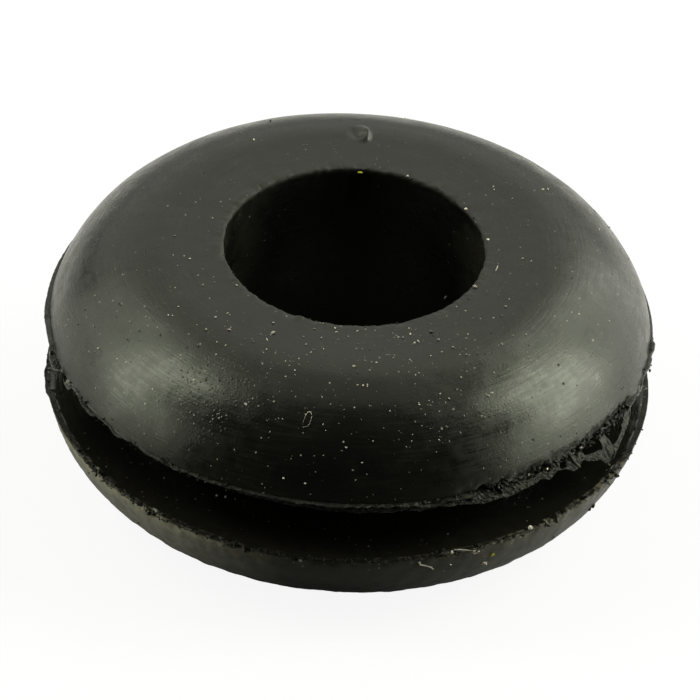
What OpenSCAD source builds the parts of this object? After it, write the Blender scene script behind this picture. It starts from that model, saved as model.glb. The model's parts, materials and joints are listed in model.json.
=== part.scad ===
// Cable grommet, moulded in one piece of black rubber.
// A domed flange lies on each side of a metal panel, the edge of the panel's hole sits in the
// groove between them, and a cable runs through the bore.
// Z is the axis of the bore, and Z = 0 is the flat land that the grommet stands on.

/* [Flanges] */
// Diameter of both flanges, at their lips beside the groove
flange_d = 14.3; // [12:0.1:22]
// Height of the grommet, from one land to the other
total_h = 6.2; // [4.8:0.1:8]
// Radius of the domed shoulder, from the land out to the lip
dome_r = 2.75; // [2:0.05:3.4]

/* [Bore] */
// Diameter of the hole that the cable passes through
bore_d = 6.2; // [3:0.1:7.6]
// Radius that eases the two mouths of the bore
mouth_r = 0.06; // [0.04:0.01:0.25]

/* [Panel groove] */
// Width of the groove, which grips a panel of this thickness
groove_w = 1.6; // [0.8:0.1:2.4]
// Diameter at the bottom of the groove, which fills the panel's hole
groove_d = 9.5; // [8.2:0.1:11.4]
// Fillet in the two corners at the bottom of the groove
root_r = 0.25; // [0.05:0.05:0.35]

/* [Moulding marks] */
// Thickness of the skin of flash on each lip, where the mould's plates met
flash_t = 0.08; // [0.05:0.01:0.15]
// How far that skin stands out past the lip
flash_reach = 0.12; // [0.04:0.02:0.3]
// Diameter of the dimple that a trapped bubble left in the upper flange
dimple_d = 0.5; // [0.2:0.02:0.8]
// Depth of the dimple
dimple_depth = 0.08; // [0.03:0.01:0.15]
// Angle up the domed shoulder at which the dimple lies, 90 being the land
dimple_up = 88; // [45:1:90]
// Direction of the dimple round the axis, 0 being +X
dimple_turn = 89; // [0:1:359]

/* [Hidden] */
$fn = 120;

bore_r = bore_d / 2;
flange_r = flange_d / 2;
groove_r = groove_d / 2;
half_h = total_h / 2;
flange_h = (total_h - groove_w) / 2;

// The shoulder is an arc that leaves the land level and ends at the lip. On a flange taller
// than the arc's radius it ends upright, and a straight skirt goes on down to the lip.
dome_drop = min(flange_h, dome_r);
dome_run = sqrt(pow(dome_r, 2) - pow(dome_r - dome_drop, 2));
land_r = flange_r - dome_run;

// The dimple is cut by a ball whose cap has the dimple's diameter and depth.
dimple_ball_r = (pow(dimple_d / 2, 2) + pow(dimple_depth, 2)) / (2 * dimple_depth);
dimple_out = dome_r + dimple_ball_r - dimple_depth;

// The sections below are drawn with X out from the axis and Y up. Y = 0 is the groove's wall
// in flange_section and flash_section, and the groove's middle plane in the others.

// One flange: a level land, then the domed shoulder down to the lip
module flange_section() {
    intersection() {
        square([flange_r, flange_h]);
        union() {
            square([land_r, flange_h]);
            translate([land_r, flange_h - dome_r]) circle(dome_r);
            translate([0, -flange_h]) square([flange_r, 2 * flange_h - dome_drop]);
        }
    }
}

// The skin of flash, flush with the groove's wall
module flash_section() {
    translate([land_r, 0]) square([dome_run + flash_reach, flash_t]);
}

// Half of the core that joins the flanges, with its fillet up to the groove's wall
module core_section() {
    straight_h = groove_w / 2 - root_r;
    difference() {
        square([groove_r + root_r, groove_w / 2]);
        translate([groove_r, 0]) square([root_r, straight_h]);
        translate([groove_r + root_r, straight_h]) circle(root_r);
    }
}

// Half of the bore, with its mouth rounded over the land
module bore_section() {
    square([bore_r, half_h]);
    translate([bore_r, half_h - mouth_r]) difference() {
        square(mouth_r);
        translate([mouth_r, 0]) circle(mouth_r);
    }
}

// Everything on one side of the groove's middle plane
module half_section() {
    difference() {
        union() {
            translate([0, groove_w / 2]) {
                flange_section();
                flash_section();
            }
            core_section();
        }
        bore_section();
    }
}

// The ball that cuts the dimple, pushed into the upper shoulder square to its surface
module dimple() {
    rotate([0, 0, dimple_turn])
        translate([land_r, 0, total_h - dome_r])
            rotate([0, -dimple_up, 0])
                translate([dimple_out, 0, 0]) sphere(dimple_ball_r);
}

module grommet() {
    color("#2b2c28") difference() {
        translate([0, 0, half_h]) rotate_extrude() {
            half_section();
            mirror([0, 1]) half_section();
        }
        dimple();
    }
}

grommet();
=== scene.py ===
# A moulded rubber cable grommet: its worn, dusty finish and torn flash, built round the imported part.
import json
import math
import random

import bpy
from mathutils import Matrix, Vector

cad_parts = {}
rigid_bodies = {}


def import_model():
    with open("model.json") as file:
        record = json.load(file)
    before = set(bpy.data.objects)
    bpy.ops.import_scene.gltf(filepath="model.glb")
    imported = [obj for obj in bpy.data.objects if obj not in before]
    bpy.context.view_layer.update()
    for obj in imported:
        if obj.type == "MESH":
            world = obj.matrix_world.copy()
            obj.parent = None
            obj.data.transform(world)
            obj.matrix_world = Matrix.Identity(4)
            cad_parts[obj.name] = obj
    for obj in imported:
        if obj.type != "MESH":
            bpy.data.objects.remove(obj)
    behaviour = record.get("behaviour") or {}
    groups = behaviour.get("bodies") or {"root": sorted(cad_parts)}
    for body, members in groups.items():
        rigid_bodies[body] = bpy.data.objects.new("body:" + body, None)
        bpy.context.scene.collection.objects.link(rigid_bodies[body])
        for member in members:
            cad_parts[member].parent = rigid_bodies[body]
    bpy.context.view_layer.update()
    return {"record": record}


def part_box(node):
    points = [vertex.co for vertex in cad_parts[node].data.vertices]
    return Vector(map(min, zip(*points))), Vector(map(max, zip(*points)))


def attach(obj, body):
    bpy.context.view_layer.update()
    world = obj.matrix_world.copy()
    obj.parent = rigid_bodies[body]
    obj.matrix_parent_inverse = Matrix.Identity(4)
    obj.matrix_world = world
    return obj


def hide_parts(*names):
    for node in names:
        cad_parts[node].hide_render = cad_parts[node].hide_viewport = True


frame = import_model()
mm = 0.001

# The sizes that the part already has
partLow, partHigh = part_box("grommet")
mounts = {mount["name"]: mount for mount in frame["record"]["mounts"]}
heightMm = (partHigh.z - partLow.z) / mm
boreR = mounts["cable_bore"]["dims"]["r_mm"]
grooveR = mounts["panel_groove"]["dims"]["r_mm"]
grooveW = mounts["panel_groove"]["dims"]["length_mm"]
upperLip = (heightMm + grooveW) / 2
lowerLip = (heightMm - grooveW) / 2
flangeH = lowerLip


def startEdit():
    bpy.ops.object.mode_set(mode="EDIT")


def endEdit():
    bpy.ops.object.mode_set(mode="OBJECT")


def selectAll():
    bpy.ops.mesh.select_all(action="SELECT")


def extrude(move):
    bpy.ops.mesh.extrude_region_move(TRANSFORM_OT_translate={"value": move})


# Draws what is selected in towards the axis, and keeps its height
def drawIn(share):
    bpy.ops.transform.resize(value=(share, share, 1), center_override=(0, 0, 0))


def deselectAll():
    if bpy.context.object and bpy.context.object.mode != "OBJECT":
        endEdit()
    bpy.ops.object.select_all(action="DESELECT")


def selectOnly(piece):
    deselectAll()
    bpy.context.view_layer.objects.active = piece
    piece.select_set(True)


# Selects what lies where the test says, in millimetres, and stays in edit mode
def selectVertices(piece, test):
    selectOnly(piece)
    startEdit()
    bpy.ops.mesh.select_mode(type="VERT")
    bpy.ops.mesh.select_all(action="DESELECT")
    endEdit()
    piece.data.vertices.foreach_set("select", [test(vertex.co / mm) for vertex in piece.data.vertices])
    startEdit()


def applyModifiers(piece):
    selectOnly(piece)
    for modifier in list(piece.modifiers):
        bpy.ops.object.modifier_apply(modifier=modifier.name)


# One vertex at the middle to draw from, in edit mode
def startPiece(name):
    deselectAll()
    bpy.ops.mesh.primitive_plane_add(size=mm)
    piece = bpy.context.object
    piece.name = name
    startEdit()
    bpy.ops.mesh.merge(type="CENTER")
    return piece


# An outline in the XZ plane, drawn by extruding one vertex from point to point, in millimetres
def drawOutline(name, points):
    piece = startPiece(name)
    here = (0, 0)
    for step, there in enumerate(points):
        move = ((there[0] - here[0]) * mm, 0, (there[1] - here[1]) * mm)
        if step == 0:
            bpy.ops.transform.translate(value=move)
        else:
            extrude(move)
        here = there
    selectAll()
    bpy.ops.mesh.edge_face_add()
    bpy.ops.mesh.delete(type="ONLY_FACE")
    endEdit()
    return piece


# Turns a closed outline about Z into a closed ring
def turnOutline(piece, steps):
    screw = piece.modifiers.new("Turn", "SCREW")
    screw.axis = "Z"
    screw.angle = 2 * math.pi
    screw.steps = screw.render_steps = steps
    screw.use_merge_vertices = True
    screw.merge_threshold = 0.0001 * mm
    applyModifiers(piece)
    startEdit()
    selectAll()
    bpy.ops.mesh.remove_doubles(threshold=0.0002 * mm)
    bpy.ops.mesh.normals_make_consistent(inside=False)
    endEdit()
    bpy.ops.object.shade_smooth()


def arcPoints(centre, radius, fromTurn, toTurn, count):
    angles = [math.radians(fromTurn + (toTurn - fromTurn) * step / count) for step in range(count + 1)]
    return [(centre[0] + radius * math.cos(angle), centre[1] + radius * math.sin(angle)) for angle in angles]


def linePoints(start, end, count):
    return [(start[0] + (end[0] - start[0]) * step / count,
             start[1] + (end[1] - start[1]) * step / count) for step in range(1, count)]


# The rubber body
body = {
    "lipR": 7.15,
    "domeR": 2.75,
    "mouthR": 0.06,
    "rootR": 0.25,
    "steps": 640,
    # how many steps the dome, each part of the land and the groove's wall take, above and below
    "upperSteps": (52, 7, 5),
    "lowerSteps": (26, 2, 4),
    "roundSteps": 5,
    # where the points lie closer: under the lip, in from the dome's edge, and down from the bore's mouth
    "lipStep": 0.06,
    "lipSteps": 7,
    "landFine": (0.4, 0.36),
    "boreFine": (0.05, 0.11, 0.2, 0.4),
    # name, where it shows, scale, strength, depth and middle of each unevenness
    "uneven": [("slack moulding", "off the base", 1.6, 0.022, 2, 0.5),
               ("small swells", "off the base", 0.45, 0.008, 2, 0.5),
               ("mouth nicks", "mouth", 0.3, 0.12, 6, 0.5),
               ("lip nicks", "lower lip", 0.24, 0.45, 5, 0.6),
               ("low dents", "lower flange", 0.42, 0.07, 4, 0.5),
               ("torn lip", "torn lip", 0.2, 0.42, 5, 0.7)],
    "pitTurn": 89.3,
    "pitR": 4.52,
    "pitReach": 0.05,
    # place sideways and onward, shift sideways and up, and spread of each press or swell at the pit
    "pit": [(-0.15, 0.04, 0.0, -0.05, 0.25), (-0.08, -0.05, 0.0, -0.04, 0.18),
            (-0.03, 0.20, 0.04, 0.05, 0.20), (0.03, 0.09, 0.05, 0.07, 0.22),
            (0.04, -0.05, 0.05, 0.07, 0.22), (0.02, -0.18, 0.04, 0.05, 0.20)],
    "tornTurns": (292, 341),
    "tornIn": 0.34,
    "smoothUpTo": 42,
}

# The section's radii: the lip, the dome over it, and where the dome meets the level land
lipR = body["lipR"]
domeR = body["domeR"]
landR = lipR - math.sqrt(domeR ** 2 - (domeR - flangeH) ** 2)


# One side of the groove's middle plane, as (radius, height over that plane).
# Its points lie closest at the lip, near the pit and in the bore's mouth.
def halfOutline(domeSteps, landSteps, wallSteps):
    wall = grooveW / 2
    top = heightMm / 2
    root = body["rootR"]
    mouth = body["mouthR"]
    lipAngle = math.degrees(math.asin((domeR - flangeH) / domeR))
    points = [(grooveR, 0)]
    points += arcPoints((grooveR + root, wall - root), root, 180, 90, body["roundSteps"])
    lipFine = lipR - body["lipStep"] * body["lipSteps"]
    points += linePoints((grooveR + root, wall), (lipFine + body["lipStep"], wall), wallSteps)
    points += linePoints((lipFine, wall), (lipR, wall), body["lipSteps"])
    points += arcPoints((landR, top - domeR), domeR, lipAngle, 90, domeSteps)
    edge, beyond = body["landFine"]
    points += linePoints((landR, top), (landR - edge, top), landSteps)
    points += linePoints((landR - beyond, top), (boreR + mouth, top), landSteps)
    points += arcPoints((boreR + mouth, top - mouth), mouth, 90, 180, body["roundSteps"])
    points += [(boreR, top - mouth - depth) for depth in body["boreFine"]]
    points += linePoints((boreR, top - mouth - body["boreFine"][-1]), (boreR, 0), 3)
    return points


def addDisplace(piece, name, scale, strength, depth=2, middle=0.5, direction="NORMAL", group=""):
    clouds = bpy.data.textures.new(name, "CLOUDS")
    clouds.noise_scale = scale * mm
    clouds.noise_depth = depth
    displace = piece.modifiers.new(name, "DISPLACE")
    displace.texture = clouds
    displace.texture_coords = "LOCAL"
    displace.direction = direction
    displace.strength = strength * mm
    displace.mid_level = middle
    displace.vertex_group = group


# Gives each vertex a weight from 0 to 1 by its place in millimetres
def addWeights(piece, name, weight):
    group = piece.vertex_groups.new(name=name)
    for vertex in piece.data.vertices:
        share = min(max(weight(vertex.co / mm), 0), 1)
        if share > 0:
            group.add([vertex.index], share, "REPLACE")


def radiusOf(place):
    return math.hypot(place.x, place.y)


def turnOf(place):
    return math.degrees(math.atan2(place.y, place.x)) % 360


# How far a turn lies from another, in degrees either way
def turnApart(one, other):
    return abs((one - other + 180) % 360 - 180)


def polar(turn, radius, height):
    angle = math.radians(turn)
    return Vector((radius * math.cos(angle), radius * math.sin(angle), height))


# Moves what lies within reach of a place, and what is round it fades out over spread
def nudge(piece, place, reach, move, spread):
    selectVertices(piece, lambda co: (co - place).length < reach)
    bpy.ops.transform.translate(value=tuple(Vector(move) * mm), use_proportional_edit=True,
                                proportional_edit_falloff="SMOOTH", proportional_size=spread * mm,
                                use_proportional_connected=False)
    endEdit()


# Where the section of the upper flange is, a length along it from the bore rim outwards
def alongFlange(length):
    if length < landR - boreR:
        return boreR + length, heightMm
    angle = math.pi / 2 - (length - landR + boreR) / domeR
    return landR + domeR * math.cos(angle), heightMm - domeR + domeR * math.sin(angle)


# Where the flash tore away it took some of the upper lip with it
def tornLipWeight(co):
    if co.z < upperLip - 0.01 or radiusOf(co) < 6.6:
        return 0
    fromTurn, toTurn = body["tornTurns"]
    inside = min(turnOf(co) - fromTurn, toTurn - turnOf(co)) / 4
    return min(max(inside, 0), 1) * (1 - math.hypot(radiusOf(co) - lipR, co.z - upperLip) / body["tornIn"])


# Where each unevenness shows, as a weight by place; the base stays flat
weights = {
    "off the base": lambda co: (co.z - 0.05) / 0.3,
    "mouth": lambda co: 1 - abs(radiusOf(co) - boreR - 0.05) / 0.13 if co.z > 5.9 else 0,
    "lower lip": lambda co: 1 - math.hypot((radiusOf(co) - lipR) * 1.8, co.z - lowerLip) / 0.22,
    "lower flange": lambda co: min(lowerLip + 0.05 - co.z, co.z - 0.05) / 0.3,
    "torn lip": tornLipWeight,
}


def makeBody():
    middle = heightMm / 2
    outline = [(x, middle + z) for x, z in halfOutline(*body["upperSteps"])]
    outline += [(boreR, middle)]
    outline += [(x, middle - z) for x, z in reversed(halfOutline(*body["lowerSteps"])[1:])]
    piece = drawOutline("rubberBody", outline)
    turnOutline(piece, body["steps"])
    for name, weight in weights.items():
        addWeights(piece, name, weight)
    for name, group, scale, strength, depth, level in body["uneven"]:
        addDisplace(piece, name, scale, strength, depth=depth, middle=level, group=group)
    applyModifiers(piece)
    pit = polar(body["pitTurn"], body["pitR"], heightMm)
    for sideways, onward, shift, rise, spread in body["pit"]:
        nudge(piece, pit + Vector((sideways, onward, 0)), body["pitReach"], (shift, 0, rise), spread)
    selectOnly(piece)
    bpy.ops.object.shade_smooth_by_angle(angle=math.radians(body["smoothUpTo"]))
    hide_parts("grommet")
    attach(piece, "root")
    print("body:", len(piece.data.polygons), "faces")
    return piece


rubberBody = makeBody()


# The moulding flash at both lips
flash = {
    "steps": 1400,
    # bites in front: how much of its reach each set leaves, how many there are, and how wide in degrees
    "bitten": (0.1, 0.25, 0.4, 0.55, 0.7),
    "bites": 7,
    "biteWide": (0.15, 1.4),
    # from turn, to turn, how much of its reach is left there
    "worn": [(200, 229, 0.45), (229, 262, 0.75), (341, 360, 0.4), (0, 20, 0.45), (20, 150, 0.7)],
    # where it is torn away, and how far in and up what is left goes, into the body
    "tornAway": (296.5, 337.5),
    "sunkIn": 0.94,
    "sunkUp": 0.12,
    # how far forward it is worn by bites, and how far forward its moulded skin ends
    "bittenFrom": -2,
    "mouldedUpTo": -3.6,
}


# Draws part of the fin in towards the lip, so that this share of its reach is left
def shrinkFlash(piece, reach, left, test):
    selectVertices(piece, test)
    drawIn((lipR + left * reach) / (lipR + reach))
    endEdit()


# A thin fin round a lip: side is 1 where the fin stands over the lip and -1 where it hangs under it.
# Each nub is a turn, a width, how far it stands out there and how far up.
def makeFlash(name, lipZ, side, reach, thick, rags, seed, nubs):
    up = thick * side
    outline = [(lipR - 0.12, lipZ), (lipR - 0.03, lipZ), (lipR + 0.02, lipZ)]
    outline += [(lipR + reach * share, lipZ) for share in (0.5, 0.75)]
    outline += [(lipR + reach, lipZ + up * share) for share in (0.15, 0.5, 0.8)]
    outline += [(lipR + reach * share, lipZ + up) for share in (0.8, 0.5, 0.2)]
    outline += [(lipR - 0.03, lipZ + up * 1.1), (lipR - 0.12, lipZ + up)]
    piece = drawOutline(name, outline)
    turnOutline(piece, flash["steps"])
    draws = random.Random(seed)
    for left in flash["bitten"]:
        bites = [(draws.uniform(0, 360), draws.uniform(*flash["biteWide"])) for bite in range(flash["bites"])]
        shrinkFlash(piece, reach, left, lambda co: radiusOf(co) > lipR + 0.3 * reach
                    and co.y < flash["bittenFrom"]
                    and any(turnApart(turnOf(co), turn) < width for turn, width in bites))
    for fromTurn, toTurn, left in flash["worn"]:
        shrinkFlash(piece, reach, left,
                    lambda co: radiusOf(co) > lipR + 0.03 and fromTurn < turnOf(co) < toTurn)
    selectVertices(piece, lambda co: radiusOf(co) > lipR + 0.01)
    bpy.ops.mesh.vertices_smooth(factor=0.5, repeat=4)
    endEdit()
    if lipZ == upperLip:
        fromTurn, toTurn = flash["tornAway"]
        selectVertices(piece, lambda co: fromTurn < turnOf(co) < toTurn)
        drawIn(flash["sunkIn"])
        bpy.ops.transform.translate(value=(0, 0, flash["sunkUp"] * mm))
        endEdit()
    for turn, width, out, rise in nubs:
        nudge(piece, polar(turn, lipR + reach, lipZ), width * 0.4, polar(turn, out, rise), width)
    # ragged in front, and smoother at the sides and behind
    addWeights(piece, "edge", lambda co: (radiusOf(co) - lipR + 0.03) / 0.1
               * min(max((flash["bittenFrom"] - co.y) / 2, 0.35), 1))
    addDisplace(piece, name + " waves", 0.7, rags, direction="Z", group="edge")
    addDisplace(piece, name + " rags", 0.22, rags * 1.6, direction="Z", group="edge")
    addDisplace(piece, name + " crumbling", 0.09, rags, depth=3, group="edge")
    applyModifiers(piece)
    bpy.ops.object.shade_flat()
    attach(piece, "root")
    print(name + ":", len(piece.data.polygons), "faces")
    return piece


upperFlash = makeFlash("upperFlash", upperLip, side=1, reach=0.10, thick=0.06, rags=0.05, seed=11, nubs=[
    (181, 0.5, 0.02, -0.04), (196, 0.4, 0.06, -0.18), (203, 0.3, 0.02, -0.2), (212, 0.45, 0.04, -0.1),
    (222, 0.25, 0.02, -0.08), (236, 0.3, 0.03, -0.05), (274, 0.2, 0.03, 0.03), (287, 0.3, 0.02, -0.08),
    (352, 0.35, 0.05, 0.0), (357, 0.3, 0.07, 0.05), (344, 0.3, 0.04, -0.1)])
lowerFlash = makeFlash("lowerFlash", lowerLip, side=-1, reach=0.02, thick=0.06, rags=0.10, seed=23, nubs=[
    (183.3, 0.26, 0.04, -0.02), (187.6, 0.30, 0.045, -0.04),
    (216, 0.3, -0.10, -0.05), (232, 0.4, -0.12, -0.06), (251, 0.4, -0.10, -0.05), (269, 0.3, -0.08, -0.04),
    (291, 0.35, 0.03, 0.07), (313, 0.35, 0.04, 0.04), (328, 0.3, 0.06, 0.05), (340, 0.3, 0.05, 0.03)])


# A small lump about 1 mm wide, which its copies shrink: sides and rings it starts with, how rough it gets
def makeLump(name, sides, rings, roughness, seed):
    deselectAll()
    bpy.ops.mesh.primitive_uv_sphere_add(segments=sides, ring_count=rings, radius=0.5 * mm)
    lump = bpy.context.object
    lump.name = name
    startEdit()
    bpy.ops.transform.vertex_random(offset=roughness * mm, seed=seed)
    bpy.ops.mesh.normals_make_consistent(inside=False)
    endEdit()
    return lump


# Copies the lumps to their places, as (place, size, stretch), joins the copies and removes the lumps
def scatter(name, lumps, places, draws):
    copies = []
    for place, size, stretch in places:
        lump = draws.choice(lumps)
        copy = lump.copy()
        copy.data = lump.data.copy()
        turned = Matrix.Rotation(draws.uniform(0, 6.28), 4, Vector([draws.uniform(-1, 1) for axis in "xyz"]))
        shrunk = Matrix.Diagonal((size * stretch, size, size * draws.uniform(0.3, 0.9), 1))
        copy.data.transform(Matrix.Translation(place * mm) @ turned @ shrunk)
        bpy.context.scene.collection.objects.link(copy)
        copies.append(copy)
    deselectAll()
    for copy in copies:
        copy.select_set(True)
    bpy.context.view_layer.objects.active = copies[0]
    bpy.ops.object.join()
    piece = bpy.context.object
    piece.name = name
    deselectAll()
    for lump in lumps:
        lump.select_set(True)
    bpy.ops.object.delete()
    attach(piece, "root")
    print(name + ":", len(copies), "lumps,", len(piece.data.polygons), "faces")
    return piece


# Rubber crumbs on the lips and at the bore's mouth
crumbs = {
    "seed": 31,
    "lump": (6, 4, 0.28),
    "lumpSeeds": (1, 2, 3, 7),
    # from turn, to turn, how many, smallest, largest, lowest, highest, nearest and farthest from the axis
    "zones": [
        (10, 158, 75, 0.025, 0.06, 3.86, 3.98, 7.11, 7.20),
        (200, 344, 75, 0.025, 0.07, 3.86, 3.98, 7.11, 7.22),
        (206, 222, 16, 0.03, 0.09, 3.80, 3.97, 7.11, 7.20),
        (226, 258, 50, 0.025, 0.08, 3.82, 3.99, 7.11, 7.21),
        (284, 297, 40, 0.035, 0.12, 3.76, 3.98, 7.10, 7.17),
        (297, 313, 90, 0.035, 0.14, 3.66, 4.04, 7.09, 7.15),
        (312, 338, 90, 0.035, 0.12, 3.74, 4.01, 7.09, 7.14),
        (299, 340, 34, 0.05, 0.16, 3.86, 4.06, 7.08, 7.12),
        (346, 358, 14, 0.03, 0.09, 3.84, 4.02, 7.11, 7.25),
        (193, 204, 18, 0.03, 0.08, 3.80, 3.96, 7.11, 7.23),
        (200, 300, 180, 0.025, 0.07, 2.20, 2.34, 7.11, 7.17),
        (300, 345, 40, 0.025, 0.06, 2.20, 2.34, 7.11, 7.17),
        (213, 221, 24, 0.04, 0.12, 2.16, 2.32, 7.11, 7.17),
        (230, 235, 16, 0.04, 0.12, 2.14, 2.32, 7.11, 7.17),
        (247, 254, 22, 0.04, 0.12, 2.14, 2.34, 7.11, 7.17),
        (266, 271, 12, 0.04, 0.10, 2.14, 2.34, 7.11, 7.17),
        (287, 291, 20, 0.05, 0.13, 2.18, 2.44, 7.11, 7.17),
        (311, 315, 14, 0.05, 0.13, 2.18, 2.36, 7.11, 7.18),
        (330, 336, 16, 0.05, 0.14, 2.16, 2.38, 7.11, 7.20),
        (0, 360, 90, 0.02, 0.05, 6.12, 6.18, 3.11, 3.20),
        (190, 350, 90, 0.02, 0.07, 6.12, 6.19, 3.10, 3.19),
        (20, 130, 40, 0.02, 0.06, 6.12, 6.19, 3.10, 3.18),
    ],
    # bits that stand on the lower flange: turn, length along it from its mouth, size
    "knobs": [(341, 5.0, 0.10), (343.5, 4.95, 0.07), (350, 5.08, 0.08), (329.5, 4.43, 0.10),
              (328.4, 4.38, 0.09), (318, 4.2, 0.05), (212, 4.8, 0.05), (226, 4.25, 0.05)],
    "knobStretch": 1.6,
}


def makeCrumbs():
    draws = random.Random(crumbs["seed"])
    lumps = [makeLump("crumb", *crumbs["lump"], seed) for seed in crumbs["lumpSeeds"]]
    places = []
    for fromTurn, toTurn, count, smallest, largest, low, high, near, far in crumbs["zones"]:
        for crumb in range(count):
            place = polar(draws.uniform(fromTurn, toTurn), draws.uniform(near, far), draws.uniform(low, high))
            size = smallest + (largest - smallest) * draws.random() ** 2
            places.append((place, size, draws.uniform(0.7, 1.9)))
    for turn, length, size in crumbs["knobs"]:
        radius, height = alongFlange(length)
        places.append((polar(turn, radius, heightMm - height), size, crumbs["knobStretch"]))
    piece = scatter("rubberCrumbs", lumps, places, draws)
    return piece


rubberCrumbs = makeCrumbs()


# The torn skin that hangs from the upper lip
tornSkin = {
    "fromTurn": 250,
    "toTurn": 339,
    "columns": 200,
    "rows": 8,
    "thick": 0.028,
    "crumple": 0.024,
    "seed": 8,
    "rootIn": 0.26,
    # turn, how far it hangs, how far its foot leans out
    "hang": [(250, 0.01, 0.01), (254, 0.05, 0.02), (257, 0.02, 0.02), (261, 0.08, 0.03), (264, 0.05, 0.03),
             (268, 0.11, 0.04), (271, 0.09, 0.03), (273.5, 0.14, 0.04), (276, 0.10, 0.03), (279, 0.13, 0.04),
             (282, 0.08, 0.03), (285, 0.15, 0.04), (287.5, 0.12, 0.03), (289, 0.05, 0.02), (290, 0.15, 0.04),
             (293, 0.14, 0.04), (296, 0.22, 0.05), (298, 0.27, 0.06), (300.5, 0.22, 0.07), (303, 0.28, 0.06),
             (306, 0.22, 0.05), (309, 0.20, 0.04), (311, 0.12, 0.03), (312.5, 0.30, 0.06),
             (314.5, 0.12, 0.03), (317, 0.22, 0.06), (318.5, 0.40, 0.10), (320, 0.36, 0.10),
             (321.3, 0.20, 0.08), (322.5, 0.36, 0.08), (324.5, 0.50, 0.10), (326.3, 0.56, 0.13),
             (327.8, 0.82, 0.21), (329.5, 0.70, 0.23), (332, 0.48, 0.22), (335, 0.28, 0.18),
             (337.5, 0.13, 0.10), (339, 0.03, 0.02)],
    # turn and height of what has come away, and how far it reaches
    "holes": [(322.6, 3.84, 0.12), (324.2, 3.80, 0.15), (325.8, 3.76, 0.15), (330.3, 3.84, 0.12),
              (331.2, 3.68, 0.17), (332.6, 3.78, 0.15), (334.2, 3.84, 0.10), (316, 3.8, 0.06),
              (301, 3.86, 0.07), (288.2, 3.9, 0.05), (294.5, 3.82, 0.05)],
}


def hangAt(turn):
    knots = tornSkin["hang"]
    for (t0, hang0, lean0), (t1, hang1, lean1) in zip(knots, knots[1:]):
        if turn <= t1:
            share = (turn - t0) / (t1 - t0)
            return hang0 + (hang1 - hang0) * share, lean0 + (lean1 - lean0) * share
    return knots[-1][1:]


def makeTornSkin():
    top = upperLip - 0.01
    radius = lipR + 0.02
    columns = tornSkin["columns"]
    rows = tornSkin["rows"]
    span = tornSkin["toTurn"] - tornSkin["fromTurn"]
    turns = [tornSkin["fromTurn"] + span * column / columns for column in range(columns + 1)]
    piece = startPiece("tornSkin")
    bpy.ops.transform.translate(value=polar(turns[0], radius, top) * mm)
    for last, turn in zip(turns, turns[1:]):
        step = (polar(turn, radius, top) - polar(last, radius, top)) * mm
        extrude(step)
    selectAll()
    for row in range(rows):
        drop = (0, 0, -mm / rows)
        extrude(drop)
    for turn in turns:
        hang, lean = hangAt(turn)
        selectVertices(piece, lambda co: turnApart(turnOf(co), turn) < 0.2 and co.z < top - 0.01)
        bpy.ops.transform.resize(value=(1, 1, hang), center_override=(0, 0, top * mm))
        for row in range(1, rows + 1):
            height = top - hang * row / rows
            selectVertices(piece, lambda co: turnApart(turnOf(co), turn) < 0.2 and co.z < height + 0.001)
            bpy.ops.transform.translate(value=polar(turn, lean / rows, 0) * mm)
    for turn, height, reach in tornSkin["holes"]:
        hole = polar(turn, radius, height)
        selectVertices(piece, lambda co: (co - hole).length < reach)
        bpy.ops.mesh.delete(type="VERT")
    selectVertices(piece, lambda co: co.z > top - 0.001)
    drawIn(1 - tornSkin["rootIn"] / radius)
    selectAll()
    bpy.ops.mesh.vertices_smooth(factor=0.5, repeat=2)
    bpy.ops.transform.vertex_random(offset=tornSkin["crumple"] * mm, seed=tornSkin["seed"])
    bpy.ops.mesh.quads_convert_to_tris(quad_method="FIXED", ngon_method="BEAUTY")
    bpy.ops.mesh.normals_make_consistent(inside=False)
    endEdit()
    solidify = piece.modifiers.new("Skin", "SOLIDIFY")
    solidify.thickness = tornSkin["thick"] * mm
    solidify.offset = 0
    applyModifiers(piece)
    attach(piece, "root")
    print("torn skin:", len(piece.data.polygons), "faces")
    return piece


tornSkinPiece = makeTornSkin()


# A thread along places in millimetres, drawn by extruding a small circle from one to the next
def makeThread(name, places, thick, sides=6, taper=0.5):
    deselectAll()
    direction = places[1] - places[0]
    bpy.ops.mesh.primitive_circle_add(vertices=sides, radius=thick / 2 * mm, fill_type="NGON",
                                      location=places[0] * mm,
                                      rotation=direction.to_track_quat("Z", "Y").to_euler())
    bpy.ops.object.transform_apply(location=True, rotation=True, scale=True)
    piece = bpy.context.object
    piece.name = name
    startEdit()
    for here, there in zip(places, places[1:]):
        extrude((there - here) * mm)
    bpy.ops.transform.resize(value=(taper, taper, taper), center_override=places[-1] * mm)
    selectAll()
    bpy.ops.mesh.normals_make_consistent(inside=False)
    endEdit()
    bpy.ops.object.shade_smooth()
    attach(piece, "root")
    return piece


# The rolled edges of the torn skin: from turn, to turn, how far down and out they end, thickness
stringEdges = {
    "tornEdge": (338.4, 328.0, 0.80, 0.27, 0.035),
    "tornEdgeInner": (336.8, 328.2, 0.74, 0.18, 0.028),
    "tornTooth": (318.0, 319.6, 0.34, 0.16, 0.07),
}


# Each sags from the lip like a slack string
def makeTornString(name, fromTurn, toTurn, sag, out, thick):
    places = []
    for share in [step / 8 for step in range(9)]:
        turn = fromTurn + (toTurn - fromTurn) * share
        bow = 0.03 * math.sin(share * math.pi) ** 0.8
        places.append(polar(turn, lipR + 0.03 + out * share, upperLip + 0.05 - sag * share - bow))
    piece = makeThread(name, places, thick, sides=5)
    return piece


tornStrings = [makeTornString(name, *string) for name, string in stringEdges.items()]
print("torn strings:", len(tornStrings))


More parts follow.
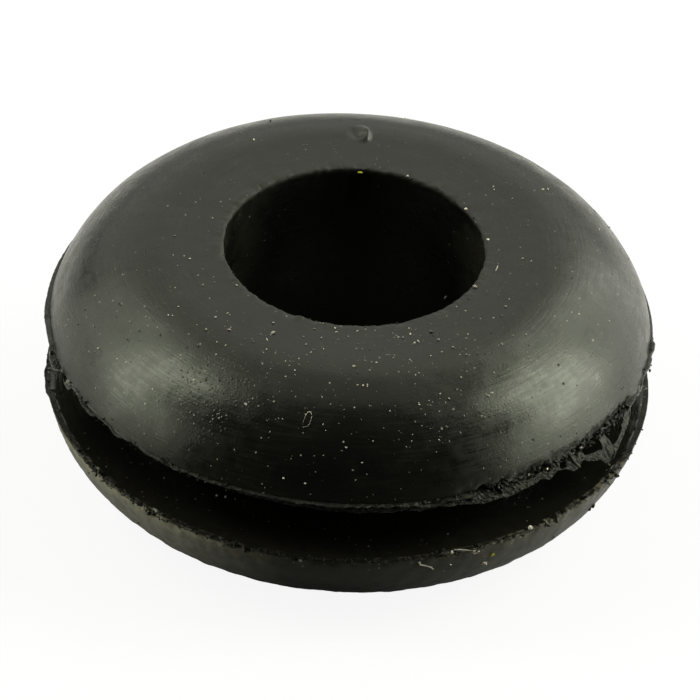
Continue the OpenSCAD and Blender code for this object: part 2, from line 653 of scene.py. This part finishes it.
# Dust grains lie all over the upper side, thickest on its front, some of them in clumps
grains = {
    "seed": 77,
    "lump": (5, 3, 0.12),
    "lumpSeeds": (4, 5, 6),
    "loose": 560,
    "clumps": 34,
    "clumpGrains": (3, 11),
    "clumpTurn": 2.2,
    "clumpLong": 0.2,
    "smallest": 0.012,
    "largest": 0.07,
    "mostlySmall": 4.5,
    "raised": 0.25,
    "crowding": 1.2,
    # how much of the front's dust lies behind, and how much of the land's at the lip
    "behind": 0.09,
    "atLip": 0.18,
}


def makeGrains():
    draws = random.Random(grains["seed"])
    lumps = [makeLump("grain", *grains["lump"], seed) for seed in grains["lumpSeeds"]]
    whole = heightMm / 2 + domeR * 0.85
    centres = []
    while len(centres) < grains["loose"] + grains["clumps"]:
        turn = draws.uniform(0, 360)
        length = draws.uniform(0.05, whole)
        radius, height = alongFlange(length)
        front = max(0.0, -math.sin(math.radians(turn)))
        onFront = grains["behind"] + (1 - grains["behind"]) * front ** 1.5
        onLand = grains["atLip"] + (1 - grains["atLip"]) * ((height - upperLip) / flangeH) ** 2
        if draws.random() < onFront * onLand * radius / lipR * grains["crowding"]:
            centres.append((turn, length))
    spots = centres[:grains["loose"]]
    for turn, length in centres[grains["loose"]:]:
        for grain in range(draws.randint(*grains["clumpGrains"])):
            spots.append((turn + draws.gauss(0, grains["clumpTurn"]),
                          max(0.03, length + draws.gauss(0, grains["clumpLong"]))))
    places = []
    for turn, length in spots:
        radius, height = alongFlange(length)
        share = draws.random() ** grains["mostlySmall"]
        size = grains["smallest"] + (grains["largest"] - grains["smallest"]) * share
        places.append((polar(turn, radius, height + size * grains["raised"]), size, draws.uniform(0.8, 1.8)))
    return scatter("dustGrains", lumps, places, draws)


dustGrains = makeGrains()

# Bits of lint that stand out
lintBits = {
    "seed": 5,
    "crooked": 0.02,
    # turn, way out from the bore rim, length, turn on the surface, thickness
    "places": [(350.8, 0.34, 0.24, 85, 0.045), (287.9, 0.60, 0.28, 10, 0.04), (288.5, 1.52, 0.16, 20, 0.045),
               (283.8, 3.6, 0.10, 70, 0.04), (252, 1.3, 0.16, 30, 0.03), (309, 2.4, 0.14, 15, 0.035),
               (301, 1.9, 0.18, 60, 0.03)],
}

# Single bits of grit, and two grains of pollen
gritBits = {
    "seed": 9,
    "lump": (6, 4, 0.3),
    "lumpSeeds": (14, 15, 17),
    "stretch": 1.3,
    # turn, radius, height, size
    "places": [(68.0, 3.13, 6.21, 0.075), (33.8, 3.12, 6.20, 0.06), (9.7, 3.20, 6.21, 0.06),
               (334.9, 3.20, 6.21, 0.085), (43.1, 3.07, 3.28, 0.10), (243.3, 4.01, 6.21, 0.095),
               (243.4, 4.33, 6.21, 0.05), (309.0, 7.13, 2.34, 0.11), (292.1, 7.03, 1.88, 0.07),
               (299.7, 6.96, 1.59, 0.12), (292.0, 7.16, 2.34, 0.09), (273.6, 7.22, 3.95, 0.06),
               (311.8, 7.22, 3.98, 0.05), (320.9, 7.19, 4.02, 0.07), (328.8, 7.34, 3.01, 0.06)],
    "yellowLump": (8, 6, 0.06, 16),
    # turn, radius, height, size, stretch
    "yellow": [(300.9, 7.04, 1.87, 0.13, 1.0), (89.2, 3.1, 6.1, 0.06, 2.2)],
}

# Fibres that lie on the rubber: thickness, and places of turn, radius and height
fibres = {
    "hookedFibre": (0.045, [(285.5, 7.12, 2.16), (285.9, 7.12, 2.06), (286.7, 7.10, 2.02),
                            (288.0, 7.09, 1.93), (288.6, 7.07, 1.84)]),
    "longFibre": (0.022, [(292.3, 7.17, 2.40), (293.6, 7.16, 2.36), (295.0, 7.16, 2.30), (296.2, 7.16, 2.24),
                         (297.6, 7.15, 2.17), (297.7, 7.13, 2.12), (296.8, 7.13, 2.12), (295.9, 7.14, 2.19)]),
    "flakeEdge": (0.014, [(261.0, 6.32, 5.48), (261.9, 6.31, 5.50), (262.4, 6.25, 5.56), (262.6, 6.10, 5.67),
                          (262.3, 6.02, 5.72), (261.6, 6.02, 5.72), (261.2, 6.10, 5.67), (260.9, 6.24, 5.56),
                          (261.0, 6.32, 5.48)]),
}


def makeLint():
    draws = random.Random(lintBits["seed"])
    crooked = lintBits["crooked"]
    pieces = []
    for number, (turn, length, long, lean, thick) in enumerate(lintBits["places"]):
        place = polar(turn, *alongFlange(length))
        down = (polar(turn, *alongFlange(length + 0.05)) - place).normalized()
        along = polar(turn + 90, 1, 0)
        heading = down * math.cos(math.radians(lean)) + along * math.sin(math.radians(lean))
        lift = down.cross(along) * -crooked
        steps = [place + lift + heading * long * (share - 0.5)
                 + along * draws.uniform(-crooked, crooked) for share in (0, 0.35, 0.7, 1)]
        pieces.append(makeThread("lint%02d" % number, steps, thick, sides=5, taper=0.7))
    for name, (thick, steps) in fibres.items():
        pieces.append(makeThread(name, [polar(*step) for step in steps], thick, sides=6, taper=0.8))
    print("lint and fibres:", len(pieces))
    return pieces


lint = makeLint()


def makeGrit():
    draws = random.Random(gritBits["seed"])
    lumps = [makeLump("gritLump", *gritBits["lump"], seed) for seed in gritBits["lumpSeeds"]]
    places = [(polar(*place), size, gritBits["stretch"]) for *place, size in gritBits["places"]]
    piece = scatter("grit", lumps, places, draws)
    yellow = [makeLump("yellowLump", *gritBits["yellowLump"])]
    yellowPlaces = [(polar(*place), size, stretch) for *place, size, stretch in gritBits["yellow"]]
    return piece, scatter("yellowGrain", yellow, yellowPlaces, draws)


grit, yellowGrain = makeGrit()


# An sRGB hex colour as the linear values that shaders take
def linear(hexColour):
    parts = [int(hexColour[i:i + 2], 16) / 255 for i in (1, 3, 5)]
    return [p / 12.92 if p <= 0.04045 else ((p + 0.055) / 1.055) ** 2.4 for p in parts] + [1]


# Adds a shader node, sets its properties and fills its sockets, each with a value, a node or (node, output)
def addNode(tree, kind, settings=None, **sockets):
    node = tree.nodes.new(kind)
    for name, value in (settings or {}).items():
        setattr(node, name, value)
    for name, value in sockets.items():
        if name.startswith("in") and name[2:].isdigit():
            socket = node.inputs[int(name[2:])]
        else:
            socket = next(s for s in node.inputs if s.name.replace(" ", "") == name and s.enabled)
        source, output = value if isinstance(value, tuple) and len(value) == 2 else (value, 0)
        if hasattr(source, "outputs"):
            tree.links.new(source.outputs[output], socket)
        else:
            socket.default_value = value
    return node


def addMath(tree, operation, *values, kind="ShaderNodeMath"):
    sockets = {"in%d" % number: value for number, value in enumerate(values)}
    return addNode(tree, kind, {"operation": operation}, **sockets)


def addVectorMath(tree, operation, *values):
    return addMath(tree, operation, *values, kind="ShaderNodeVectorMath")


# Adds to a value each layer times its share
def addLayers(tree, value, *layers):
    for layer, share in layers:
        value = addMath(tree, "MULTIPLY_ADD", layer, share, value)
    return value


def multiply(tree, *parts):
    product = parts[0]
    for part in parts[1:]:
        product = addMath(tree, "MULTIPLY", product, part)
    return product


# Carries a value from one range to another, held at both ends
def addRange(tree, value, start, end, toStart=0, toEnd=1):
    return addNode(tree, "ShaderNodeMapRange", in0=value, in1=start, in2=end, in3=toStart, in4=toEnd)


def addNoise(tree, place, name):
    scale, detail, roughness = noises[name]
    return addNode(tree, "ShaderNodeTexNoise", in0=place, Scale=scale, Detail=detail, Roughness=roughness)


def addCells(tree, place, apart):
    return addNode(tree, "ShaderNodeTexVoronoi", in0=place, Scale=1 / apart)


def addMix(tree, share, one, other):
    return addNode(tree, "ShaderNodeMix", {"data_type": "RGBA"}, in0=share, in6=one, in7=other)


def startMaterial(name):
    material = bpy.data.materials.new(name)
    material.use_nodes = True
    return material, material.node_tree, material.node_tree.nodes["Principled BSDF"]


def placeInMm(tree):
    place = (addNode(tree, "ShaderNodeTexCoord"), "Object")
    return addNode(tree, "ShaderNodeVectorMath", {"operation": "SCALE"}, in0=place, Scale=1 / mm)


def dress(pieces, material):
    for piece in pieces:
        piece.data.materials.clear()
        piece.data.materials.append(material)


# Sizes are in millimetres; the finest ones are a little coarse, so that they show
rubber = {
    "base": "#0a0a08",
    "tint": "#f8ffe6",
    "refraction": 1.5,
    "dust": "#7e7d72",
    "lipDust": "#8b886f",
    "speck": "#a19d86",
    "streakLong": 0.95,
    "streakWide": 0.065,
    "streakDeep": 0.0075,
    "streakPale": 0.022,
    "grainDeep": 0.0036,
    "pitsApart": 0.42,
    "pitWide": 0.075,
    "pitDeep": 0.03,
    "scuffPlace": (240, 6.0, 5.65),
    "scuffReach": 1.5,
    "scuffApart": 0.075,
    "scuffDeep": 0.03,
    "tornPlace": (319, lipR, upperLip),
    "tornReach": 2.9,
    "tornHigh": (0.34, 0.03),
    "tornDeep": 0.06,
    "tornInner": 6.5,
    "driftRagged": 0.7,
    "lipLine": 0.9,
    "specksApart": 0.18,
    "speckWide": 0.13,
    "roughness": 0.3,
    "filmDull": 0.3,
    "tornDull": 0.25,
    "gapShare": 0.4,
}

tornEdges = {
    "base": "#10100d",
    "dust": "#302e25",
    "grainDeep": 0.012,
    "roughness": 0.5,
    "specular": 0.27,
}

# Noises: how many swings a millimetre, detail and roughness
noises = {
    "tornRagged": (3.5, 6, 0.7),
    "drifts": (4.5, 8, 0.75),
    "streaks": (1, 3, 0.6),
    "patches": (0.7, 3, 0.6),
    "grain": (1 / 0.055, 2, 0.5),
    "tornGrain": (1 / 0.08, 3, 0.5),
    "mottles": (2.4, 5, 0.65),
    "tornEdgeGrain": (1 / 0.07, 3, 0.5),
    "caughtDust": (7, 3, 0.6),
    "grainShades": (2.5, 1, 0.5),
}

# Where things fade in or out: two readings, and the shares at them where they aren't 0 and 1
fades = {
    "streakPatches": (0.38, 0.6, 0.35, 1),
    "aside": (1, 4.2, 0.3, 1),
    "scuffSize": (0.25, 1, 0, 0.6),
    "tornRagged": (0.35, 0.65, 0.15, 1.3),
    "tornEdge": (-0.015, 0.03),
    "low": (lowerLip + 0.4, lowerLip + 0.2),
    # the low film's share at the right and left of the lower flange: dust, and painted light where the side
    # lamps fall, thicker on the left
    "right": (1.3, 4.5, 0.02, 0.32),
    "left": (-1.2, -4.2, 0, 1.8),
    "outward": (0.6, 0.1),
    "notUnder": (-0.9, -0.6),
    "notBehind": (1.5, -3.4, 0.15, 1),
    "drifts": (0.3, 0.7, 0.2, 0.8),
    # painted light on the lower flange's ledge inside the groove, paler towards the groove's mouth, and only
    # in front
    "ledge": (6.15, 7.1, 0, 0.075),
    "ledgeFront": (-3, -5.5, 0.25, 1),
    "nearLip": (grooveW / 2 + 0.28, grooveW / 2 + 0.02),
    "inStreaks": (0.42, 0.75, 0, rubber["streakPale"]),
    "boreSides": (1.9, 2.9, 0, 0.035),
    "borePatches": (0.4, 0.55),
    "lipColour": (lowerLip - 0.5, lowerLip - 0.1),
    "specksInFront": (3, -4, 0.25, 1),
    "speckBright": (0.3, 0.9, 0.05, 1),
    "outOfGap": (grooveW / 2, grooveW / 2 + 0.05, 0.25, 1),
    "dullStreaks": (0.3, 0.7, -0.07, 0.07),
    "mottles": (0.35, 0.65, -0.07, 0.07),
    "boreRim": (boreR + 0.03, boreR + 0.09, 0.4, 0),
    "top": (heightMm - 0.14, heightMm - 0.06),
    "caught": (0.5, 0.7),
    "crumbsRight": (0.5, 4.5),
    "crumbsLeft": (-2, -4.5, 0, 0.6),
    "crumbsFront": (-2, -3.6),
    "lying": (0.45, 0.65, 0, 0.35),
    "grainShades": (0.36, 0.66),
}


def fade(tree, value, name):
    return addRange(tree, value, *fades[name])


def startRubber(name):
    material, tree, shader = startMaterial(name)
    shader.inputs["Specular Tint"].default_value = linear(rubber["tint"])
    shader.inputs["IOR"].default_value = rubber["refraction"]
    place = placeInMm(tree)
    axes = addNode(tree, "ShaderNodeSeparateXYZ", in0=place)
    return material, tree, shader, place, [(axes, 0), (axes, 1), (axes, 2)]


def addBump(tree, shader, height):
    bump = addNode(tree, "ShaderNodeBump", Strength=1.0, Distance=mm, Height=height)
    tree.links.new(bump.outputs[0], shader.inputs["Normal"])


# One value near a spot of turn, radius and height, which changes to another a reach away
def nearby(tree, place, spot, reach, near, far):
    away = addVectorMath(tree, "DISTANCE", place, polar(*spot))
    return addRange(tree, (away, "Value"), reach * 0.3, reach, near, far)


# Rough peaks on the scuffed patch, as a height from 0 to 1
def scuffHeight(tree, place):
    cells = addCells(tree, place, rubber["scuffApart"])
    peaks = addMath(tree, "SUBTRACT", fade(tree, (cells, "Color"), "scuffSize"), cells)
    peaks.use_clamp = True
    return multiply(tree, peaks, nearby(tree, place, rubber["scuffPlace"], rubber["scuffReach"], 1, 0))


# 1 where the upper lip has lost its moulded skin, which the flash took with it
def tornShare(tree, place, z, radius, onUpper):
    high = nearby(tree, place, rubber["tornPlace"], rubber["tornReach"], *rubber["tornHigh"])
    ragged = fade(tree, addNoise(tree, place, "tornRagged"), "tornRagged")
    overLip = addMath(tree, "SUBTRACT", z, upperLip)
    underTop = addMath(tree, "SUBTRACT", multiply(tree, high, ragged), overLip)
    atRim = addMath(tree, "GREATER_THAN", radius, rubber["tornInner"])
    return multiply(tree, fade(tree, underTop, "tornEdge"), onUpper, atRim)


# A pale film at both sides of the lower flange, thickest along its lip and on the left: dust, and painted
# light where the side lamps fall on it. On its ledge in front, painted light that grows paler towards the
# groove's mouth
def lowDustAndPaintedLight(tree, place, x, y, z, radius, fromGroove, facingUp):
    drifts = addNoise(tree, place, "drifts")
    driftShare = fade(tree, drifts, "drifts")
    raggedZ = addLayers(tree, z, (drifts, rubber["driftRagged"]))
    bothSides = addMath(tree, "ADD", fade(tree, x, "right"), fade(tree, x, "left"))
    share = multiply(tree, fade(tree, raggedZ, "low"), fade(tree, facingUp, "notUnder"),
                     fade(tree, y, "notBehind"), fade(tree, facingUp, "outward"),
                     bothSides, driftShare)
    lipLine = multiply(tree, fade(tree, fromGroove, "nearLip"), share)
    dustAndPaintedLight = addLayers(tree, share, (lipLine, rubber["lipLine"]))
    # painted light on the ledge: paler towards the groove's mouth, in front only
    ledge = multiply(tree, fade(tree, radius, "ledge"), addMath(tree, "LESS_THAN", z, lowerLip + 0.1),
                     fade(tree, y, "ledgeFront"), driftShare)
    return addMath(tree, "MAXIMUM", dustAndPaintedLight, ledge)


# Specks of dust too small to model, on what doesn't face down
def speckShare(tree, place, y, facingUp, outOfGap):
    cells = addCells(tree, place, rubber["specksApart"])
    inSpeck = addMath(tree, "LESS_THAN", cells, multiply(tree, (cells, "Color"), rubber["speckWide"]))
    notUnder = addMath(tree, "GREATER_THAN", facingUp, -0.5)
    return multiply(tree, inSpeck, fade(tree, (cells, "Color"), "speckBright"), outOfGap, notUnder,
                    fade(tree, y, "specksInFront"))


# Nearly black, a little olive: what it shows is sheen, broken by streaks that run round the flange,
# a fine grain, pits, a scuffed patch, and dust; low on the flange's sides and on its ledge a pale film also
# paints light
def makeMouldedBlackRubber():
    material, tree, shader, place, (x, y, z) = startRubber("moulded black rubber")
    flat = addVectorMath(tree, "MULTIPLY", place, (1, 1, 0))
    radius = (addVectorMath(tree, "LENGTH", flat), "Value")
    fromGroove = addMath(tree, "ABSOLUTE", addMath(tree, "SUBTRACT", z, heightMm / 2))
    sideways = addMath(tree, "ABSOLUTE", x)
    sideShare = fade(tree, sideways, "aside")
    onUpper = addMath(tree, "GREATER_THAN", z, upperLip - 0.03)
    outOfGap = fade(tree, fromGroove, "outOfGap")
    normal = addNode(tree, "ShaderNodeNewGeometry")
    facingUp = (addNode(tree, "ShaderNodeSeparateXYZ", in0=(normal, "Normal")), 2)

    # streaks: long round the axis and narrow down the slope
    downSlope = addMath(tree, "SUBTRACT", radius, fromGroove)
    slope = addNode(tree, "ShaderNodeCombineXYZ", in0=x, in1=y, in2=downSlope)
    streakScale = (1 / rubber["streakLong"], 1 / rubber["streakLong"], 1 / rubber["streakWide"])
    streakPlace = addVectorMath(tree, "MULTIPLY", slope, streakScale)
    streaks = addNoise(tree, streakPlace, "streaks")
    patches = addNoise(tree, place, "patches")
    streakHeight = multiply(tree, streaks, fade(tree, patches, "streakPatches"))
    height = multiply(tree, streakHeight, multiply(tree, sideShare, rubber["streakDeep"]))

    # grain, scuffs, the torn lip, and pits: cells cut by the surface, only some of them near enough to show
    grain = addNoise(tree, place, "grain")
    torn = tornShare(tree, place, z, radius, onUpper)
    tornGrain = addNoise(tree, place, "tornGrain")
    cells = addCells(tree, place, rubber["pitsApart"])
    pits = addRange(tree, cells, rubber["pitWide"] / 2 / rubber["pitsApart"], 0)
    pits.interpolation_type = "SMOOTHSTEP"
    scuffs = scuffHeight(tree, place)
    tears = multiply(tree, tornGrain, torn)
    height = addLayers(tree, height, (grain, rubber["grainDeep"]), (scuffs, rubber["scuffDeep"]),
                       (tears, rubber["tornDeep"]), (pits, -rubber["pitDeep"]))
    addBump(tree, shader, height)

    # the low film of dust and painted light, a trace of dust in the upper streaks, pale patches on the sides
    # of the bore, and specks
    dustAndPaintedLight = lowDustAndPaintedLight(tree, place, x, y, z, radius, fromGroove, facingUp)
    upperStreaks = multiply(tree, fade(tree, streakHeight, "inStreaks"), onUpper)
    inBore = addMath(tree, "LESS_THAN", radius, boreR + 0.02)
    # pale patches on the bore's left and right walls
    boreSidePatches = multiply(tree, inBore, fade(tree, sideways, "boreSides"), fade(tree, patches, "borePatches"))
    allDustAndPaintedLight = addMath(tree, "MAXIMUM", dustAndPaintedLight, addMath(tree, "MAXIMUM", boreSidePatches, upperStreaks))
    dust = addMix(tree, fade(tree, z, "lipColour"), linear(rubber["dust"]), linear(rubber["lipDust"]))
    # the base turns pale where there is dust, and where the low film paints light
    dusty = addMix(tree, allDustAndPaintedLight, linear(rubber["base"]), (dust, 2))
    specks = speckShare(tree, place, y, facingUp, outOfGap)
    specked = addMix(tree, specks, (dusty, 2), linear(rubber["speck"]))
    tree.links.new(specked.outputs[2], shader.inputs["Base Color"])

    # streaks, mottles, dust and tears dull the sheen, and the groove keeps more of it
    mottles = fade(tree, addNoise(tree, place, "mottles"), "mottles")
    uneven = addMath(tree, "ADD", fade(tree, streaks, "dullStreaks"), mottles)
    rim = multiply(tree, fade(tree, radius, "boreRim"), fade(tree, z, "top"))
    dull = addLayers(tree, rubber["roughness"], (uneven, sideShare), (dustAndPaintedLight, rubber["filmDull"]),
                     (torn, rubber["tornDull"]), (rim, 1))
    inCore = addMath(tree, "LESS_THAN", radius, (boreR + grooveR) / 2)
    notGap = addMath(tree, "MAXIMUM", outOfGap, inCore)
    gapShare = addLayers(tree, rubber["gapShare"], (notGap, 1 - rubber["gapShare"]))
    tree.links.new(multiply(tree, dull, gapShare).outputs[0], shader.inputs["Roughness"])
    return material


mouldedBlackRubber = makeMouldedBlackRubber()


# The same rubber where it tore: no moulded skin, so it is dull and crumbly, with dust caught in it
def makeTornBlackRubber():
    material, tree, shader, place, (x, y, z) = startRubber("torn black rubber")
    shader.inputs["Roughness"].default_value = tornEdges["roughness"]
    shader.inputs["Specular IOR Level"].default_value = tornEdges["specular"]
    grain = addNoise(tree, place, "tornEdgeGrain")
    addBump(tree, shader, multiply(tree, grain, tornEdges["grainDeep"]))
    spots = addNoise(tree, place, "caughtDust")
    colour = addMix(tree, fade(tree, spots, "caught"), linear(tornEdges["base"]), linear(tornEdges["dust"]))

    # dust lies on the lower lip's crumbs at both sides in front
    low = addMath(tree, "LESS_THAN", z, lowerLip + 0.1)
    bothSides = addMath(tree, "ADD", fade(tree, x, "crumbsRight"), fade(tree, x, "crumbsLeft"))
    lipDust = multiply(tree, low, bothSides, fade(tree, y, "crumbsFront"), fade(tree, spots, "lying"))
    dusty = addMix(tree, lipDust, (colour, 2), linear(rubber["lipDust"]))
    tree.links.new(dusty.outputs[2], shader.inputs["Base Color"])
    return material


dustRoughness = 0.7


# Pale mineral dust and lint: dull, a little yellow, and no two grains of one shade
def makePaleDust(name, dark, light):
    material, tree, shader = startMaterial(name)
    shades = addNoise(tree, placeInMm(tree), "grainShades")
    colour = addMix(tree, fade(tree, shades, "grainShades"), linear(dark), linear(light))
    tree.links.new(colour.outputs[2], shader.inputs["Base Color"])
    shader.inputs["Roughness"].default_value = dustRoughness
    return material


dress([rubberBody], mouldedBlackRubber)
dress([upperFlash, lowerFlash, rubberCrumbs, tornSkinPiece] + tornStrings, makeTornBlackRubber())
dress([dustGrains], makePaleDust("pale mineral dust", "#3d3b30", "#cfcbb2"))
dress([grit] + lint, makePaleDust("pale lint", "#8d897a", "#e4e0c8"))
dress([yellowGrain], makePaleDust("yellow pollen grain", "#8d8a1e", "#b5b13a"))

# At the sides and behind, the upper flash still has its moulded skin
upperFlash.data.materials.append(mouldedBlackRubber)
selectVertices(upperFlash, lambda co: co.y > flash["mouldedUpTo"])
upperFlash.active_material_index = 1
bpy.ops.object.material_slot_assign()
endEdit()
print("materials:", len(bpy.data.materials))

floorBoard = {
    "radius": 400,
    "under": 0.002,
    "dim": "#40403e",
    "bright": "#e2e2de",
    # which way its painted shade gets brighter, how fast it does at both sides, and how far out it stops
    "towards": (0.3, 0.95, 0),
    "aside": 0.38,
    "reach": 11,
    "roughness": 0.2,
    "card": "#f4f4f2",
    "glowShare": 0.9,
}


# Satin white board: the camera sees it white with the grommet's shadow; the rubber sees it with a painted
# shade, dark in front and brighter behind and at both sides
def makeFloor():
    deselectAll()
    bpy.ops.mesh.primitive_circle_add(vertices=64, radius=floorBoard["radius"] * mm, fill_type="NGON",
                                      location=(0, 0, -floorBoard["under"] * mm))
    floor = bpy.context.object
    floor.name = "floor"
    material, tree, board = startMaterial("satin white board")
    spot = placeInMm(tree)
    towards = addVectorMath(tree, "DOT_PRODUCT", spot, floorBoard["towards"])
    sideways = addMath(tree, "ABSOLUTE", (addNode(tree, "ShaderNodeSeparateXYZ", in0=spot), 0))
    outwards = addLayers(tree, (towards, "Value"), (sideways, floorBoard["aside"]))
    # painted shade for what the rubber reflects: dark in front of the grommet, brighter behind it and at both
    # sides
    lit = addRange(tree, outwards, -floorBoard["reach"], floorBoard["reach"])
    shade = addMix(tree, lit, linear(floorBoard["dim"]), linear(floorBoard["bright"]))
    tree.links.new(shade.outputs[2], board.inputs["Base Color"])
    board.inputs["Roughness"].default_value = floorBoard["roughness"]
    card = addNode(tree, "ShaderNodeBsdfDiffuse", Color=linear(floorBoard["card"]))
    glow = addNode(tree, "ShaderNodeEmission", Color=(1, 1, 1, 1), Strength=1.0)
    rays = addNode(tree, "ShaderNodeLightPath")
    view = addNode(tree, "ShaderNodeMixShader", in0=floorBoard["glowShare"], in1=card, in2=glow)
    seen = addNode(tree, "ShaderNodeMixShader", in0=(rays, "Is Camera Ray"), in1=board, in2=view)
    tree.links.new(seen.outputs[0], tree.nodes["Material Output"].inputs["Surface"])
    floor.data.materials.append(material)


roomLight = 0.02


# The camera sees white all round, and the rubber a nearly dark room
def makeWorld():
    world = bpy.data.worlds.new("studio")
    bpy.context.scene.world = world
    world.use_nodes = True
    tree = world.node_tree
    tree.nodes.clear()
    rays = addNode(tree, "ShaderNodeLightPath")
    room = addNode(tree, "ShaderNodeBackground", Color=(1, 1, 1, 1), Strength=roomLight)
    white = addNode(tree, "ShaderNodeBackground", Color=(1, 1, 1, 1), Strength=1.0)
    seen = addNode(tree, "ShaderNodeMixShader", in0=(rays, "Is Camera Ray"), in1=room, in2=white)
    addNode(tree, "ShaderNodeOutputWorld", Surface=seen)


boxDistance = 400
boxColour = (1.0, 1.0, 0.94)

# Each soft box: turn round the grommet, height, width and tallness as seen from it, in degrees, and radiance
softBoxes = {
    "rightStrip": (5, 28, 28, 50, 6.5),
    "rightSoft": (36, 28, 48, 60, 2.05),
    "rightFront": (-18, 12, 20, 24, 3.3),
    "leftStrip": (180, 30, 20, 56, 5.2),
    "leftSide": (154, 32, 32, 60, 1.6),
    "leftFront": (199, 11, 18, 22, 2.3),
    "back": (90, 32, 84, 52, 0.8),
    "overhead": (90, 74, 96, 46, 0.5),
}


def makeSoftBox(name, turn, height, wide, tall, radiance):
    distance = boxDistance * mm
    across, upright = [2 * distance * math.tan(math.radians(angle / 2)) for angle in (wide, tall)]
    out = polar(turn, math.cos(math.radians(height)), math.sin(math.radians(height)))
    lamp = bpy.data.lights.new(name, "AREA")
    lamp.shape = "RECTANGLE"
    lamp.size = across
    lamp.size_y = upright
    lamp.energy = radiance * math.pi * across * upright
    lamp.color = boxColour
    box = bpy.data.objects.new(name, lamp)
    bpy.context.scene.collection.objects.link(box)
    box.location = Vector((0, 0, heightMm / 2 * mm)) + out * distance
    box.rotation_mode = "QUATERNION"
    box.rotation_quaternion = out.to_track_quat("Z", "Y")
    box.visible_camera = False


camera = {
    "distance": 500,
    "elevation": 36.82,
    "roll": 3.02,
    "frameWidth": 16.63,
    "aimRight": 0.026,
    "aimUp": 0.028,
}


def makeCamera():
    data = bpy.data.cameras.new("camera")
    eye = bpy.data.objects.new("camera", data)
    bpy.context.scene.collection.objects.link(eye)
    bpy.context.scene.camera = eye
    e = math.radians(camera["elevation"])
    right = Vector((1, 0, 0))
    up = Vector((0, math.sin(e), math.cos(e)))
    back = Vector((0, -math.cos(e), math.sin(e)))
    target = Vector((0, 0, heightMm / 2)) + right * camera["aimRight"] + up * camera["aimUp"]
    turned = Matrix((right, up, back)).transposed() @ Matrix.Rotation(math.radians(camera["roll"]), 3, "Z")
    eye.matrix_world = Matrix.Translation((target + back * camera["distance"]) * mm) @ turned.to_4x4()
    data.sensor_width = 36
    data.lens = data.sensor_width * camera["distance"] / camera["frameWidth"]
    data.clip_start = 10 * mm
    data.clip_end = 5000 * mm


makeFloor()
makeWorld()
for name, place in softBoxes.items():
    makeSoftBox(name, *place)
makeCamera()
bpy.context.scene.view_settings.view_transform = "Standard"
print("floor, world, camera and", len(softBoxes), "soft boxes")
